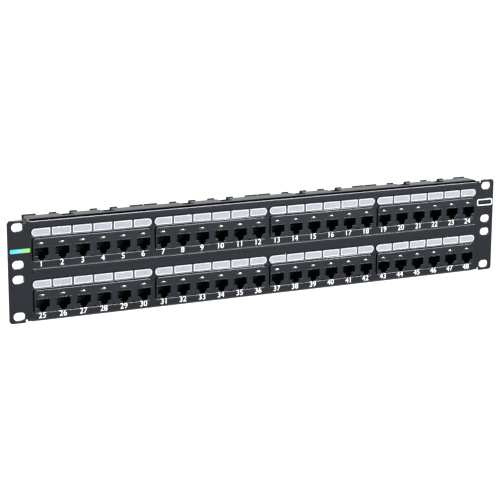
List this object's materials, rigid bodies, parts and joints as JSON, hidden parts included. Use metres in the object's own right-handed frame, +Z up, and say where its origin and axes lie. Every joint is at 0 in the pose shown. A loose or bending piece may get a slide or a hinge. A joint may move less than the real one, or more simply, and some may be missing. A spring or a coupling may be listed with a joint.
{
  "type": "patch panel",
  "caption": "Rack-mount patch panel, double height, with modular jacks in front, punch-down blocks behind and pull-off clear label covers.",
  "frame": {"origin": "centre of the mounting plane: the rear face of the sheet, midway between the ears and at half height", "axes": "+X right as seen from the front, +Y back into the rack, +Z up"},
  "size_m": [0.4826, 0.0396, 0.0882],
  "materials": {
    "powder_coat": "fine-textured black powder coat",
    "black_plastic": "satin moulded",
    "carrier_plastic": "satin moulded",
    "circuit_board": "solder mask",
    "idc_plastic": "satin moulded",
    "label_card": "matt card",
    "clear_cover": "clear polycarbonate"
  },
  "bodies": {
    "root": {"front_panel": "powder_coat", "jack_housing_1": "black_plastic", "contact_carrier_1": "carrier_plastic", "circuit_board_1": "circuit_board", "idc_block_upper_1": "idc_plastic", "idc_block_lower_1": "idc_plastic", "label_card_1": "label_card", "jack_housing_2": "black_plastic", "contact_carrier_2": "carrier_plastic", "circuit_board_2": "circuit_board", "idc_block_upper_2": "idc_plastic", "idc_block_lower_2": "idc_plastic", "label_card_2": "label_card", "jack_housing_3": "black_plastic", "contact_carrier_3": "carrier_plastic", "circuit_board_3": "circuit_board", "idc_block_upper_3": "idc_plastic", "idc_block_lower_3": "idc_plastic", "label_card_3": "label_card", "jack_housing_4": "black_plastic", "contact_carrier_4": "carrier_plastic", "circuit_board_4": "circuit_board", "idc_block_upper_4": "idc_plastic", "idc_block_lower_4": "idc_plastic", "label_card_4": "label_card", "jack_housing_5": "black_plastic", "contact_carrier_5": "carrier_plastic", "circuit_board_5": "circuit_board", "idc_block_upper_5": "idc_plastic", "idc_block_lower_5": "idc_plastic", "label_card_5": "label_card", "jack_housing_6": "black_plastic", "contact_carrier_6": "carrier_plastic", "circuit_board_6": "circuit_board", "idc_block_upper_6": "idc_plastic", "idc_block_lower_6": "idc_plastic", "label_card_6": "label_card", "jack_housing_7": "black_plastic", "contact_carrier_7": "carrier_plastic", "circuit_board_7": "circuit_board", "idc_block_upper_7": "idc_plastic", "idc_block_lower_7": "idc_plastic", "label_card_7": "label_card", "jack_housing_8": "black_plastic", "contact_carrier_8": "carrier_plastic", "circuit_board_8": "circuit_board", "idc_block_upper_8": "idc_plastic", "idc_block_lower_8": "idc_plastic", "label_card_8": "label_card"},
    "cover_1": {"label_cover_1": "clear_cover"},
    "cover_2": {"label_cover_2": "clear_cover"},
    "cover_3": {"label_cover_3": "clear_cover"},
    "cover_4": {"label_cover_4": "clear_cover"},
    "cover_5": {"label_cover_5": "clear_cover"},
    "cover_6": {"label_cover_6": "clear_cover"},
    "cover_7": {"label_cover_7": "clear_cover"},
    "cover_8": {"label_cover_8": "clear_cover"}
  },
  "joints": [
    {"name": "cover_1_pull", "type": "slide", "parent": "root", "child": "cover_1", "axis": [0, -1, 0], "range_m": [0, 0.012]},
    {"name": "cover_2_pull", "type": "slide", "parent": "root", "child": "cover_2", "axis": [0, -1, 0], "range_m": [0, 0.012]},
    {"name": "cover_3_pull", "type": "slide", "parent": "root", "child": "cover_3", "axis": [0, -1, 0], "range_m": [0, 0.012]},
    {"name": "cover_4_pull", "type": "slide", "parent": "root", "child": "cover_4", "axis": [0, -1, 0], "range_m": [0, 0.012]},
    {"name": "cover_5_pull", "type": "slide", "parent": "root", "child": "cover_5", "axis": [0, -1, 0], "range_m": [0, 0.012]},
    {"name": "cover_6_pull", "type": "slide", "parent": "root", "child": "cover_6", "axis": [0, -1, 0], "range_m": [0, 0.012]},
    {"name": "cover_7_pull", "type": "slide", "parent": "root", "child": "cover_7", "axis": [0, -1, 0], "range_m": [0, 0.012]},
    {"name": "cover_8_pull", "type": "slide", "parent": "root", "child": "cover_8", "axis": [0, -1, 0], "range_m": [0, 0.012]}
  ]
}
